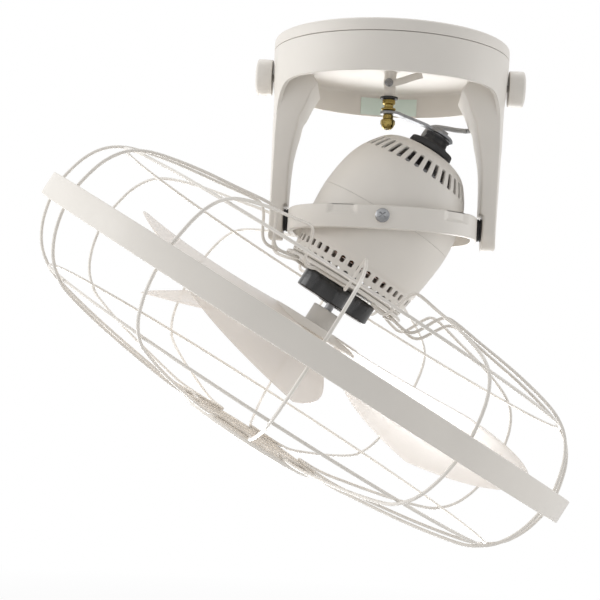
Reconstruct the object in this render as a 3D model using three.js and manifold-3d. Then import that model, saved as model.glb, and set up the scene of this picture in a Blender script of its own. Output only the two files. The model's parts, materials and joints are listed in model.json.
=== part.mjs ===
// Orbital ceiling fan, millimetres, +Z up. The origin is the centre of the face that lies on the
// ceiling. A fixed yoke carries a level gimbal ring on the X axis through the gimbal centre, the ring
// carries the motor head on the Y axis, and a crank on the head's own axis leads the head round a
// circle. Everything that swings turns about one point, the gimbal centre.
import * as THREE from "three";
import { mergeVertices } from "three/addons/utils/BufferGeometryUtils.js";
import Module from "manifold-3d";

const wasm = await Module();
wasm.setup();

// ---- Driving dimensions ---------------------------------------------------------------------

const GAP = 0.3; // between pieces that touch
const FACETS = 30; // sides of the large round pieces
const SMALL_FACETS = 16;

const GIMBAL_Z = -171; // gimbal centre below the ceiling
const LEAN = THREE.MathUtils.degToRad(29.25); // of the head's axis from the vertical

// Ceiling base and yoke
const BASE_R = 111.5;
const BASE_DEPTH = 11.7;
const BASE_SHEET = 4;
const YOKE_TOP = -12;
const YOKE_RIM = -47;
const YOKE_RIM_R = 110;
const YOKE_INNER_R = 106.5;
const YOKE_FACETS = 48;
const PAN_TOP = -20;
const PAN_BOTTOM = -23;
const ARM_INNER_X = 93.3;
const ARM_FOOT_R = 19.5;
const ARM_TOP_HALF_WIDTH = 27;
const PIVOT_PIN_R = 4;
const PIVOT_HOLE_R = 4.3;
const KNOB_Z = -35;
const KNOB_R = 17.2;
const KNOB_INNER_X = 112;
const KNOB_OUTER_X = 128;
const STUD_R = 3.4;
const TAB_X = 101;
const TAB_THICKNESS = 3;

// Drive rod
const ROD_X = 0;
const SLEEVE_R = 5.5;
const ROD_R = 3;
const ROD_END = -50.2;

// Gimbal ring: a rounded oval round the motor housing
const RING_HALF_X = 89;
const RING_HALF_Y = 77;
const RING_WALL_X = 5.5;
const RING_WALL_Y = 7.7;
const RING_TOP = 9.5;
const RING_BOTTOM = -12;
const RING_SQUARENESS = 2.6;
const RING_POINTS = 36;

// Motor head, heights along its own axis from the gimbal centre
const SHELL_FRONT = -64.5;
const SHELL_SPLIT = 5.4;
const SHELL_R = 67.4;
const SHELL_WALL = 2.5;
const SPIGOT_R = 14;
const SPIGOT_END = -82;
const SHAFT_R = 4;
const VENT_COUNT = 30;
const SLOT_COUNT = 30;
const HEAD_SCREW_R = 2.8;

// Blades
const BLADE_R = 247.5;
const BLADE_COUNT = 3;
const BLADE = {
  firstDeg: -14.3, // where the first blade's leading edge would meet the tip circle
  sweep: { deg: -47.9, bow: -9.0, bend: 0.59 }, // of the leading edge, towards the hub
  span: { root: 115.0, tip: 43.1, bend: 1.86 }, // degrees from edge to edge
  rootZ: -113.5,
  lift: [-13.5, 19.8, 2.2], // height of the leading edge outwards, by powers of the share
  fall: { root: 7.4, more: 75.3, bend: 0.68, curve: 1.49 }, // to the trailing edge
  camber: -1.7,
  leadCut: { share: 0.212, bend: 1.56 }, // rounding of the tip's two corners
  trailCut: { share: 0.305, bend: 1.21 },
};
const BLADE_SHEET = 2;
const HUB_DISC_R = 45.5;
const HUB_COLLAR_R = 14.3;

// Guard
const GUARD_R = 282.5;
const GUARD_FACETS = 48;
const BAND_WALL = 3.5;
const BAND_REAR = -125;
const BAND_FRONT = -147.5;
const WIRE_R = 1.5;
const WIRE_PAIRS = 6;
const WIRE_STEP_DEG = 30;
const WIRE_FIRST_DEG = 5.5;
const PLATE_R = 63;
const PLATE_REAR = -66;
const PLATE_FRONT = -68.5;
const MEDALLION_R = 73;
const MEDALLION_REAR = -232.5;

// Crank
const CRANK_EYE_Z = -62.3; // top face of the crank plate at its eye
const CRANK_SHEET = 2.6;
const CRANK_WIDTH = 15;

// Cable
const CABLE_R = 2.4;
const CABLE_PAN = [82, 47]; // where it leaves the pan
const CABLE_HEAD = [-14, 24]; // where it leaves the rear shell, in the head's own X and Y

// ---- Materials ------------------------------------------------------------------------------

const paint = (color, roughness, metalness = 0, extra = {}) =>
  new THREE.MeshStandardMaterial({ color, roughness, metalness, ...extra });
const MATERIAL = {
  shell: paint(0xdedad4, 0.45),
  wire: paint(0xdcd8d2, 0.4, 0.1),
  blade: paint(0xe6dfd8, 0.35, 0, { transparent: true, opacity: 0.7 }),
  black: paint(0x1b1b1c, 0.3),
  rubber: paint(0x2a2a2b, 0.75),
  zinc: paint(0xb9bcc0, 0.35, 1),
  steel: paint(0x8f9296, 0.4, 1),
  brass: paint(0xc69a45, 0.3, 1),
  copper: paint(0xa8623a, 0.5, 0.6),
  label: paint(0xd5e6d6, 0.6),
  cable: paint(0x77787a, 0.6),
  nylon: paint(0xece9e2, 0.5),
};

// ---- Solids ---------------------------------------------------------------------------------

// A geometry as a solid, its shared vertices merged and its faces turned outwards.
function solid(geometry) {
  const bare = new THREE.BufferGeometry().setAttribute(
    "position",
    geometry.getAttribute("position"),
  );
  if (geometry.index) bare.setIndex(geometry.index);
  const merged = mergeVertices(bare, 1e-3);
  const make = (triVerts) =>
    new wasm.Manifold(
      new wasm.Mesh({
        numProp: 3,
        vertProperties: merged.attributes.position.array,
        triVerts,
      }),
    );
  const triVerts = new Uint32Array(merged.index.array);
  const made = make(triVerts);
  return made.volume() >= 0 ? made : make(triVerts.reverse());
}

function geometryOf(body) {
  const mesh = body.getMesh();
  const positions = new Float32Array(mesh.numVert * 3);
  for (let i = 0; i < mesh.numVert; i++) {
    const first = i * mesh.numProp;
    positions.set(mesh.vertProperties.subarray(first, first + 3), i * 3);
  }
  return new THREE.BufferGeometry()
    .setAttribute("position", new THREE.BufferAttribute(positions, 3))
    .setIndex(new THREE.BufferAttribute(mesh.triVerts, 1));
}

const joined = (bodies) => bodies.reduce((sum, body) => sum.add(body));
const without = (body, cutters) => cutters.reduce((rest, cutter) => rest.subtract(cutter), body);

// A closed [radius, height] outline turned round the Z axis.
function turned(outline, facets = FACETS) {
  const points = outline.map(([r, z]) => new THREE.Vector2(r, z));
  const open = outline[0][0] === 0 && outline.at(-1)[0] === 0;
  if (!open) points.push(points[0].clone());
  return solid(new THREE.LatheGeometry(points, facets).rotateX(Math.PI / 2));
}

// A plain disc, tube or rod along Z from one height to another.
function round(r, low, high, hole = 0, facets = SMALL_FACETS) {
  const inner = hole || 0;
  return turned(
    [
      [inner, low],
      [r, low],
      [r, high],
      [inner, high],
    ],
    facets,
  );
}

function block(size, centre) {
  return solid(new THREE.BoxGeometry(...size).translate(...centre));
}

// An outline in XY, with holes, raised from one height to another.
function raised(outline, low, high, holes = []) {
  const shape = new THREE.Shape(outline.map(([x, y]) => new THREE.Vector2(x, y)));
  for (const hole of holes) {
    shape.holes.push(new THREE.Path(hole.map(([x, y]) => new THREE.Vector2(x, y))));
  }
  const depth = high - low;
  const made = new THREE.ExtrudeGeometry(shape, { depth, bevelEnabled: false });
  return solid(made.translate(0, 0, low));
}

// The path through given points, one step per point.
class PointPath extends THREE.Curve {
  constructor(points) {
    super();
    this.points = points;
  }
  getPoint(t, target = new THREE.Vector3()) {
    const last = this.points.length - 1;
    const place = Math.min(Math.max(t, 0), 1) * last;
    const index = Math.min(Math.floor(place), last - 1);
    return target.lerpVectors(this.points[index], this.points[index + 1], place - index);
  }
  getPointAt(u, target) {
    return this.getPoint(u, target);
  }
  getTangentAt(u) {
    const step = 0.5 / (this.points.length - 1);
    return this.getPoint(u + step).sub(this.getPoint(u - step)).normalize();
  }
}

// A round bar along the given points.
function bar(points, radius, sides) {
  const section = new THREE.Shape(
    Array.from({ length: sides }, (_, i) => {
      const turn = (2 * Math.PI * i) / sides;
      return new THREE.Vector2(radius * Math.cos(turn), radius * Math.sin(turn));
    }),
  );
  const extrudePath = new PointPath(points);
  const steps = points.length - 1;
  return solid(new THREE.ExtrudeGeometry(section, { steps, extrudePath }));
}

const moved = (body, x, y, z) => body.translate([x, y, z]);
const DEG = Math.PI / 180;
const alongX = (body) => body.rotate([0, 90, 0]); // +Z becomes +X
const alongY = (body) => body.rotate([-90, 0, 0]); // +Z becomes +Y
const mirroredX = (body) => body.mirror([1, 0, 0]);

// ---- The scene graph ------------------------------------------------------------------------

const fan = new THREE.Group();
const head = new THREE.Group(); // +Z along the head's axis, towards its rear
head.position.z = GIMBAL_Z;
head.rotation.y = LEAN;
const gimbal = new THREE.Group();
gimbal.position.z = GIMBAL_Z;
fan.add(gimbal, head);

function add(parent, name, body, material) {
  const mesh = new THREE.Mesh(geometryOf(body), material);
  mesh.name = name;
  parent.add(mesh);
}

// ---- Ceiling base and yoke ------------------------------------------------------------------

function ceilingBase() {
  const inner = BASE_R - 6;
  const dish = turned([
    [0, 0],
    [BASE_R - 1.5, 0],
    [BASE_R, -1.5],
    [BASE_R, -BASE_DEPTH],
    [inner, -BASE_DEPTH],
    [inner, -BASE_SHEET],
    [0, -BASE_SHEET],
  ]);
  const tabTop = 1 - BASE_SHEET;
  const tabBottom = KNOB_Z - 9;
  const tab = block(
    [TAB_THICKNESS, 20, tabTop - tabBottom],
    [TAB_X, 0, (tabTop + tabBottom) / 2],
  );
  const studHole = moved(alongX(round(STUD_R + GAP, -8, 8)), TAB_X, 0, KNOB_Z);
  const tapped = tab.subtract(studHole);
  const screwHoles = [45, 135, 225, 315].map((deg) =>
    moved(round(2.6, -9, 3, 0, 8), 75 * Math.cos(deg * DEG), 75 * Math.sin(deg * DEG), 0),
  );
  const cableHole = moved(round(11, -9, 3), -45, 0, 0);
  return without(joined([dish, tapped, mirroredX(tapped)]), [...screwHoles, cableHole]);
}

// The inner edge of the right arm, from the foot up to the pan, and back down its outer edge.
function armFront() {
  const innerEdge = [
    [ARM_INNER_X, -192],
    [ARM_INNER_X, -159.2],
    [90.4, -157.4],
    [90, -130],
    [87.6, -105],
    [85, -91],
    [80.5, -73],
    [73.5, -57],
    [66, -45],
    [60, -40],
    [60, PAN_BOTTOM + 1],
  ];
  return [...innerEdge, [115, PAN_BOTTOM + 1], [115, -192]];
}

// The right arm: the front outline, cut to the side outline with its round foot, and to a slightly
// tapered cylinder outside.
function rightArm() {
  const front = raised(armFront(), -40, 40).rotate([90, 0, 0]);
  const footPoints = Array.from({ length: 13 }, (_, i) => {
    const turn = Math.PI + (Math.PI * i) / 12;
    return [ARM_FOOT_R * Math.cos(turn), GIMBAL_Z + ARM_FOOT_R * Math.sin(turn)];
  });
  const side = raised(
    [
      ...footPoints,
      [ARM_TOP_HALF_WIDTH, -70],
      [ARM_TOP_HALF_WIDTH + 3, PAN_BOTTOM + 2],
      [-ARM_TOP_HALF_WIDTH - 3, PAN_BOTTOM + 2],
      [-ARM_TOP_HALF_WIDTH, -70],
    ],
    0,
    130,
  )
    .rotate([90, 0, 0])
    .rotate([0, 0, 90]);
  const taper = turned(
    [
      [0, -200],
      [106.9, -200],
      [107.6, -140],
      [108.6, -97],
      [109, -55],
      [YOKE_RIM_R, YOKE_RIM],
      [YOKE_RIM_R + 1, PAN_BOTTOM + 3],
      [0, PAN_BOTTOM + 3],
    ],
    YOKE_FACETS,
  );
  return front.intersect(side).intersect(taper);
}

function yoke() {
  const wall = turned(
    [
      [0, PAN_BOTTOM],
      [YOKE_INNER_R, PAN_BOTTOM],
      [YOKE_INNER_R, YOKE_RIM],
      [YOKE_RIM_R - 0.8, YOKE_RIM],
      [YOKE_RIM_R, YOKE_RIM + 1],
      [BASE_R, YOKE_TOP],
      [BASE_R - 3, YOKE_TOP],
      [BASE_R - 3.6, PAN_TOP],
      [0, PAN_TOP],
    ],
    YOKE_FACETS,
  );
  const arm = rightArm();
  const pinHole = moved(alongX(round(PIVOT_HOLE_R, 0, 12)), 89.6, 0, GIMBAL_Z);
  const studHole = moved(alongX(round(STUD_R + 0.5, 0, 60)), 60, 0, KNOB_Z);
  const tabSlot = block(
    [TAB_THICKNESS + 1.2, 21.2, 60],
    [TAB_X, 0, KNOB_Z - 9.6 + 30],
  );
  const rightCuts = joined([pinHole, studHole, tabSlot]);
  const rodHole = round(SLEEVE_R + GAP, -30, -10);
  const cableHole = moved(round(CABLE_R + 1, -30, -10, 0, 12), ...CABLE_PAN, 0);
  return without(joined([wall, arm, mirroredX(arm)]), [
    rightCuts,
    mirroredX(rightCuts),
    rodHole,
    cableHole,
  ]);
}


add(fan, "ceiling_base", ceilingBase(), MATERIAL.shell);
add(fan, "yoke", yoke(), MATERIAL.shell);

// Drive rod: a threaded pin in a plastic sleeve, clamped by a nut above the pan and a washer below.
add(
  fan,
  "rod_sleeve",
  turned(
    [
      [ROD_R + GAP, PAN_TOP + 3],
      [9, PAN_TOP + 3],
      [9, PAN_TOP + GAP],
      [SLEEVE_R, PAN_TOP + GAP],
      [SLEEVE_R, ROD_END + 2.2],
      [ROD_R + GAP, ROD_END + 2.2],
    ],
    SMALL_FACETS,
  ),
  MATERIAL.shell,
);
add(fan, "rod_washer", round(8.5, ROD_END, ROD_END + 1.9, ROD_R + GAP), MATERIAL.rubber);
add(
  fan,
  "rod_pin",
  joined([round(ROD_R, ROD_END, PAN_TOP + 8), round(6.4, PAN_TOP + 3.3, PAN_TOP + 8, 0, 6)]),
  MATERIAL.steel,
);

// A cross-headed screw clamps a flat stay to the front of the sleeve.
const STAY_Z = -35.5;
add(
  fan,
  "rod_stay",
  raised(
    [
      [-6, -3.6],
      [6, -3.6],
      [30, 5],
      [30, 11.8],
      [6, 3.6],
      [-6, 3.6],
    ],
    0,
    1.2,
  )
    .rotate([90, 0, 0])
    .translate([0, -SLEEVE_R - GAP, STAY_Z]),
  MATERIAL.shell,
);
add(
  fan,
  "rod_stay_screw",
  moved(
    turned(
      [
        [0, 0],
        [4, 0],
        [3.4, 1.4],
        [0, 2],
      ],
      12,
    ).rotate([90, 0, 0]),
    -1,
    -SLEEVE_R - 1.2 - 2 * GAP,
    STAY_Z,
  ),
  MATERIAL.zinc,
);

// A bare label on the inside of the far wall.
function ratingLabel() {
  const half = 15.5 * DEG;
  const arc = (r, from, to) =>
    Array.from({ length: 9 }, (_, i) => {
      const turn = Math.PI / 2 + from + ((to - from) * i) / 8;
      return [r * Math.cos(turn), r * Math.sin(turn)];
    });
  const face = YOKE_INNER_R - GAP;
  return raised([...arc(face, -half, half), ...arc(face - 0.4, half, -half)], -45.5, -28);
}
add(fan, "rating_label", ratingLabel(), MATERIAL.label);

add(fan, "terminal_block", block([42, 18, 11], [-45, 45, -13.5]), MATERIAL.nylon);

// Side knobs: a cap with its threaded stud, which clamps the yoke to the tab of the ceiling base.
function knob() {
  const cap = turned(
    [
      [0, KNOB_INNER_X],
      [KNOB_R - 1, KNOB_INNER_X],
      [KNOB_R, KNOB_INNER_X + 1],
      [KNOB_R, KNOB_OUTER_X - 3],
      [KNOB_R - 2, KNOB_OUTER_X - 1],
      [KNOB_R - 7, KNOB_OUTER_X],
      [0, KNOB_OUTER_X],
    ],
    24,
  );
  const stud = round(STUD_R, TAB_X - 4, KNOB_INNER_X + 1, 0, 12);
  return moved(alongX(joined([cap, stud])), 0, 0, KNOB_Z);
}
add(fan, "side_knob_right", knob(), MATERIAL.shell);
add(fan, "side_knob_left", mirroredX(knob()), MATERIAL.shell);

// ---- Gimbal ring ----------------------------------------------------------------------------

function oval(halfX, halfY) {
  return Array.from({ length: RING_POINTS }, (_, i) => {
    const turn = (2 * Math.PI * i) / RING_POINTS;
    const bend = (value) => Math.sign(value) * Math.abs(value) ** (2 / RING_SQUARENESS);
    return [halfX * bend(Math.cos(turn)), halfY * bend(Math.sin(turn))];
  });
}

function gimbalRing() {
  const inner = oval(RING_HALF_X - RING_WALL_X, RING_HALF_Y - RING_WALL_Y);
  const band = raised(oval(RING_HALF_X, RING_HALF_Y), RING_BOTTOM, RING_TOP, [inner.reverse()]);
  const lug = alongX(round(12.5, RING_HALF_X - RING_WALL_X, RING_HALF_X, 0, 16));
  const pad = alongY(round(11, RING_HALF_Y - 3, RING_HALF_Y + 0.6, 0, 16));
  const pinHole = alongX(round(PIVOT_HOLE_R, -100, 100));
  const screwHole = alongY(round(HEAD_SCREW_R + GAP, -100, 100));
  return without(joined([band, lug, mirroredX(lug), pad, pad.mirror([0, 1, 0])]), [
    pinHole,
    screwHole,
  ]);
}
add(gimbal, "gimbal_ring", gimbalRing(), MATERIAL.shell);

const bush = alongX(round(10.6, RING_HALF_X + GAP, ARM_INNER_X - GAP, PIVOT_HOLE_R));
add(gimbal, "pivot_bush_right", bush, MATERIAL.rubber);
add(gimbal, "pivot_bush_left", mirroredX(bush), MATERIAL.rubber);

// The arm pins stand in blind holes in the arms and reach through the ring.
function armPin() {
  const inside = RING_HALF_X - RING_WALL_X - 2 * GAP;
  return alongX(
    joined([round(PIVOT_PIN_R, inside - 2, 101.2), round(7, inside - 3, inside, 0, 6)]),
  );
}
add(gimbal, "arm_pin_right", armPin(), MATERIAL.zinc);
add(gimbal, "arm_pin_left", mirroredX(armPin()), MATERIAL.zinc);

// Cross-headed pivot screws through the ring into the housing, with a nylon washer between.
function headScrew() {
  const headStart = RING_HALF_Y + 0.6 + GAP;
  const screw = turned(
    [
      [0, 56],
      [HEAD_SCREW_R, 56],
      [HEAD_SCREW_R, headStart],
      [6.6, headStart],
      [6.3, headStart + 1.4],
      [4.2, headStart + 2.8],
      [0, headStart + 3.2],
    ],
    SMALL_FACETS,
  );
  const slot = (deg) => block([6.2, 1.4, 4], [0, 0, headStart + 3.4]).rotate([0, 0, deg]);
  return alongY(without(screw, [slot(45), slot(135)]));
}
add(gimbal, "head_screw_rear", headScrew(), MATERIAL.zinc);
add(gimbal, "head_screw_front", headScrew().rotate([0, 0, 180]), MATERIAL.zinc);

// ---- Motor head -----------------------------------------------------------------------------

// Outer outline of the motor housing as [radius, height], front to rear.
const FRONT_OUTLINE = [
  [57.3, SHELL_FRONT],
  [58.8, SHELL_FRONT + 1.3],
  [60.6, -54.3],
  [62.4, -44],
  [66.2, -20],
  [SHELL_R, SHELL_SPLIT - GAP / 2],
];
const REAR_OUTLINE = [
  [SHELL_R, SHELL_SPLIT + GAP / 2],
  [66.2, 22],
  [63.5, 38],
  [58.3, 53],
  [46.5, 70.5],
  [36, 77.8],
  [24, 82],
];

// Cutting blocks round the axis, each tangential x radial x axial, leaning with the wall.
function ringOfSlots(count, width, height, r, z, leanDeg) {
  const depth = 14;
  return joined(
    Array.from({ length: count }, (_, i) =>
      block([width, depth, height], [0, 0, 0])
        .rotate([leanDeg, 0, 0])
        .translate([0, r, z])
        .rotate([0, 0, (360 / count) * (i + 0.5)]),
    ),
  );
}

function frontShell() {
  const floor = SHELL_FRONT + SHELL_WALL;
  const shell = turned([
    [SPIGOT_R, SHELL_FRONT],
    ...FRONT_OUTLINE,
    [SHELL_R - SHELL_WALL, SHELL_SPLIT - GAP / 2],
    [63.4, -20],
    [56.3, floor],
    [14.6, floor],
    [14.6, -49],
    [11.3, -49],
    [11.3, -59],
    [6, -59],
    [6, SPIGOT_END],
    [SPIGOT_R - 1, SPIGOT_END],
    [SPIGOT_R, SPIGOT_END + 1],
  ]);
  const boss = alongY(round(7, SHELL_R - 8, SHELL_R + 0.8, 0, 16));
  const bosses = joined([boss, boss.mirror([0, 1, 0])]);
  const screwHole = alongY(round(HEAD_SCREW_R + GAP, -90, 90, 0, 16));
  const coreSpace = round(SHELL_R - 10, -40, SHELL_SPLIT - GAP / 2, 0, 24);
  const trimmed = bosses.subtract(coreSpace).subtract(block([200, 200, 20], [0, 0, 15.25]));
  return without(joined([shell, trimmed]), [
    ringOfSlots(VENT_COUNT, 3.6, 5.4, 62, -49, 0),
    ringOfSlots(VENT_COUNT, 3.6, 4.8, 60, -59, 0),
    screwHole,
  ]);
}

function rearShell() {
  const hollow = [
    [17, 79.8],
    [34, 75.6],
    [44, 68.7],
    [55.4, 52],
    [61, 36],
    [SHELL_R - SHELL_WALL, SHELL_SPLIT + GAP / 2],
  ];
  const shell = turned([[17, 83], ...hollow, ...REAR_OUTLINE], SLOT_COUNT);
  const cableHole = moved(round(CABLE_R + 0.9, 60, 100, 0, 12), ...CABLE_HEAD, 0);
  const edgeNotch = joined(
    [1, -1].map((side) => alongY(round(7.6, 60, 75, 0, 16)).scale([1, side, 1])),
  );
  return without(shell, [
    ringOfSlots(SLOT_COUNT, 4, 15, 52.4, 61.8, 34),
    cableHole,
    edgeNotch,
  ]);
}


add(head, "front_shell", frontShell(), MATERIAL.shell);
add(head, "rear_shell", rearShell(), MATERIAL.shell);

// Motor: laminated stator with its two winding ends, rotor on the shaft, two ball bearings.
add(head, "stator_core", round(53, -30, 8, 28.6, 30), MATERIAL.steel);
const winding = (low, high) =>
  turned(
    [
      [31, low + 2],
      [33, low],
      [47, low],
      [50, low + 3],
      [48, high],
      [31, high],
    ],
    24,
  );
add(head, "winding_front", winding(-43, -30 - GAP), MATERIAL.copper);
add(head, "winding_rear", winding(-20.2, -8.3).mirror([0, 0, 1]), MATERIAL.copper);
const bearing = (low, high) =>
  turned(
    [
      [SHAFT_R + GAP, low],
      [10.8, low],
      [11, low + 0.4],
      [11, high],
      [SHAFT_R + GAP, high],
    ],
    SMALL_FACETS,
  );
add(head, "bearing_front", bearing(-58.6, -50), MATERIAL.steel);
add(head, "bearing_rear", bearing(23.4, 30), MATERIAL.steel);
add(head, "capacitor", block([14, 30, 20], [45, 0, 37]), MATERIAL.black);

// Gearbox: a cup over the stator, with the rear bearing in its floor and the output neck on top.
function gearboxCase() {
  const cup = turned(
    [
      [5.5, 20.6],
      [34, 20.6],
      [34, 62],
      [7.6, 74],
      [7.6, 71],
      [31, 60],
      [31, 30.6],
      [11.3, 30.6],
      [11.3, 23],
      [5.5, 23],
    ],
    24,
  );
  const wiringNotch = block([14, 30, 22], [-30, 20, 70]);
  return cup.subtract(wiringNotch);
}
add(head, "gearbox_case", gearboxCase(), MATERIAL.steel);
add(
  head,
  "gearbox_boot",
  turned(
    [
      [7.6, 84],
      [22.5, 84],
      [22, 88.5],
      [12, 92],
      [10.6, 99.8],
      [7.6, 99.8],
    ],
    18,
  ),
  MATERIAL.rubber,
);

// Worm on the motor shaft, and the worm wheel on a cross shaft beside it.
const WORM_Z = 42;
const WORM_R = 4.6;
const WHEEL_R = 11;
const WHEEL_X = 17;
const WHEEL_TEETH = 24;
function wormWheel() {
  const outline = Array.from({ length: WHEEL_TEETH * 2 }, (_, i) => {
    const r = i % 2 ? WHEEL_R : WHEEL_R - 1.4;
    const turn = (Math.PI * i) / WHEEL_TEETH;
    return [r * Math.cos(turn), r * Math.sin(turn)];
  });
  const wheel = raised(outline, -3.5, 3.5);
  const axle = round(2.5, -10, 10, 0, 12);
  return moved(alongY(joined([wheel, axle])), WHEEL_X, 0, WORM_Z);
}
add(head, "worm_wheel", wormWheel(), MATERIAL.nylon);

// Guard nut: a three-lobed hand nut on the spigot of the front shell.
function guardNut() {
  const outline = Array.from({ length: 48 }, (_, i) => {
    const turn = (2 * Math.PI * i) / 48;
    const lobe = -Math.sin(3 * turn);
    const r = 29.5 + 11 * Math.sign(lobe) * Math.abs(lobe) ** 0.62;
    return [r * Math.cos(turn), r * Math.sin(turn)];
  });
  const grip = raised(outline, -89.5, -70.6);
  return grip.subtract(round(SPIGOT_R + GAP + 0.2, -95, -60, 0, 24));
}
add(head, "guard_nut", guardNut(), MATERIAL.black);

// ---- Guard ----------------------------------------------------------------------------------

add(
  head,
  "rear_guard_plate",
  without(
    turned([
      [SPIGOT_R + GAP, PLATE_REAR],
      [PLATE_R - 1.5, PLATE_REAR],
      [PLATE_R, PLATE_REAR - 1],
      [PLATE_R, PLATE_FRONT],
      [SPIGOT_R + GAP, PLATE_FRONT],
    ]),
    [0, 60, 120, 180, 240, 300].map((deg) =>
      moved(
        round(3.2, -75, -60, 0, 8),
        47 * Math.cos(deg * DEG),
        47 * Math.sin(deg * DEG),
        0,
      ),
    ),
  ),
  MATERIAL.wire,
);

// Half of a guard wire as [radius, height], from inside the band to the hub.
const REAR_LEG = [
  [276.8, -134],
  [276, -120],
  [270, -98],
  [260, -81.5],
  [246, -70.5],
  [226, -63],
  [190, -55],
  [118, -44.2],
  [106.5, -45],
  [100, -51.5],
  [88.8, -70],
  [82, -73.8],
  [72, -73],
];
const FRONT_LEG = [
  [276.8, -138.5],
  [275.6, -152],
  [270, -171],
  [260, -188],
  [246, -200],
  [228, -208],
  [180, -218.4],
  [120, -227.5],
  [92, -230.6],
];

// One guard wire: two legs a wire step apart, joined by a bend under the hub.
function guardWire(leg, bendR, bendZ, middleDeg) {
  const half = WIRE_STEP_DEG / 2;
  const at = (r, z, deg) =>
    new THREE.Vector3(r * Math.cos(deg * DEG), r * Math.sin(deg * DEG), z);
  const down = leg.map(([r, z]) => at(r, z, middleDeg - half));
  const up = leg.map(([r, z]) => at(r, z, middleDeg + half)).reverse();
  const bend = [-1, -0.82, -0.4, 0.4, 0.82, 1].map((share, i) => {
    const rise = i === 0 || i === 5 ? 5 : i === 1 || i === 4 ? 1.4 : 0;
    return at(bendR + rise, bendZ, middleDeg + share * half);
  });
  return bar([...down, ...bend, ...up], WIRE_R, 5);
}

// A hoop that ties the wires together, lying against their inner side.
function hoop(r, z) {
  const torus = new THREE.TorusGeometry(r, WIRE_R, 5, GUARD_FACETS);
  return solid(torus.translate(0, 0, z));
}

for (let i = 0; i < WIRE_PAIRS; i++) {
  const middle = WIRE_FIRST_DEG + WIRE_STEP_DEG / 2 + (360 / WIRE_PAIRS) * i;
  add(
    head,
    `rear_wire_${i + 1}`,
    guardWire(REAR_LEG, 55, PLATE_FRONT - WIRE_R - GAP, middle),
    MATERIAL.wire,
  );
  add(
    head,
    `front_wire_${i + 1}`,
    guardWire(FRONT_LEG, 62, MEDALLION_REAR + WIRE_R + 2 * GAP, middle),
    MATERIAL.wire,
  );
}
add(head, "rear_hoop", hoop(240.5, -72.2), MATERIAL.wire);
add(head, "front_hoop", hoop(240.5, -199.3), MATERIAL.wire);

add(
  head,
  "guard_band",
  turned(
    [
      [GUARD_R - BAND_WALL, BAND_FRONT],
      [GUARD_R, BAND_FRONT],
      [GUARD_R, BAND_REAR],
      [GUARD_R - BAND_WALL, BAND_REAR],
    ],
    GUARD_FACETS,
  ),
  MATERIAL.shell,
);
add(
  head,
  "front_medallion",
  turned([
    [0, -237.5],
    [45, -236.5],
    [MEDALLION_R - 2, MEDALLION_REAR],
    [MEDALLION_R, -234],
    [MEDALLION_R - 1, -236.8],
    [45, -240.2],
    [0, -241.4],
  ]),
  MATERIAL.shell,
);

// ---- Blades, rotor and shaft ----------------------------------------------------------------

// One blade: a twisted sheet from the hub disc to the tip circle. Its leading edge is its rear edge.
function blade(firstDeg) {
  const steps = 8;
  const rootR = HUB_DISC_R - 8;
  const point = (u, share, side) => {
    const { sweep, span, lift, fall, camber, leadCut, trailCut } = BLADE;
    const across = 2 * u - 1;
    const lost =
      leadCut.share * Math.max(0, -across) ** leadCut.bend +
      trailCut.share * Math.max(0, across) ** trailCut.bend;
    const v = share * (1 - lost);
    const r = rootR + (BLADE_R - rootR) * v;
    const lead = sweep.deg * (1 - v) ** sweep.bend + sweep.bow * v * (1 - v);
    const deg = firstDeg + lead + (span.root + (span.tip - span.root) * v ** span.bend) * u;
    const rear = BLADE.rootZ + lift[0] * v + lift[1] * v ** 2 + lift[2] * v ** 3;
    const drop = (fall.root + fall.more * v ** fall.bend) * u ** fall.curve;
    const z = rear - drop + camber * v * 4 * u * (1 - u) - (side * BLADE_SHEET) / 2;
    return new THREE.Vector3(r * Math.cos(deg * DEG), r * Math.sin(deg * DEG), z);
  };
  const positions = [];
  const index = (u, v, side) => side * (steps + 1) * (steps + 1) + v * (steps + 1) + u;
  for (const side of [0, 1]) {
    for (let v = 0; v <= steps; v++) {
      for (let u = 0; u <= steps; u++) {
        positions.push(...point(u / steps, v / steps, side * 2 - 1).toArray());
      }
    }
  }
  const faces = [];
  const quad = (a, b, c, d) => faces.push(a, b, c, a, c, d);
  for (let v = 0; v < steps; v++) {
    for (let u = 0; u < steps; u++) {
      quad(index(u, v, 0), index(u + 1, v, 0), index(u + 1, v + 1, 0), index(u, v + 1, 0));
      quad(index(u, v, 1), index(u, v + 1, 1), index(u + 1, v + 1, 1), index(u + 1, v, 1));
    }
  }
  for (let u = 0; u < steps; u++) {
    quad(index(u, 0, 0), index(u, 0, 1), index(u + 1, 0, 1), index(u + 1, 0, 0));
    quad(index(u, steps, 0), index(u + 1, steps, 0), index(u + 1, steps, 1), index(u, steps, 1));
  }
  for (let v = 0; v < steps; v++) {
    quad(index(0, v, 0), index(0, v + 1, 0), index(0, v + 1, 1), index(0, v, 1));
    quad(index(steps, v, 0), index(steps, v, 1), index(steps, v + 1, 1), index(steps, v + 1, 0));
  }
  const sheet = new THREE.BufferGeometry().setAttribute(
    "position",
    new THREE.Float32BufferAttribute(positions, 3),
  );
  sheet.setIndex(faces);
  return solid(sheet);
}

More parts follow.
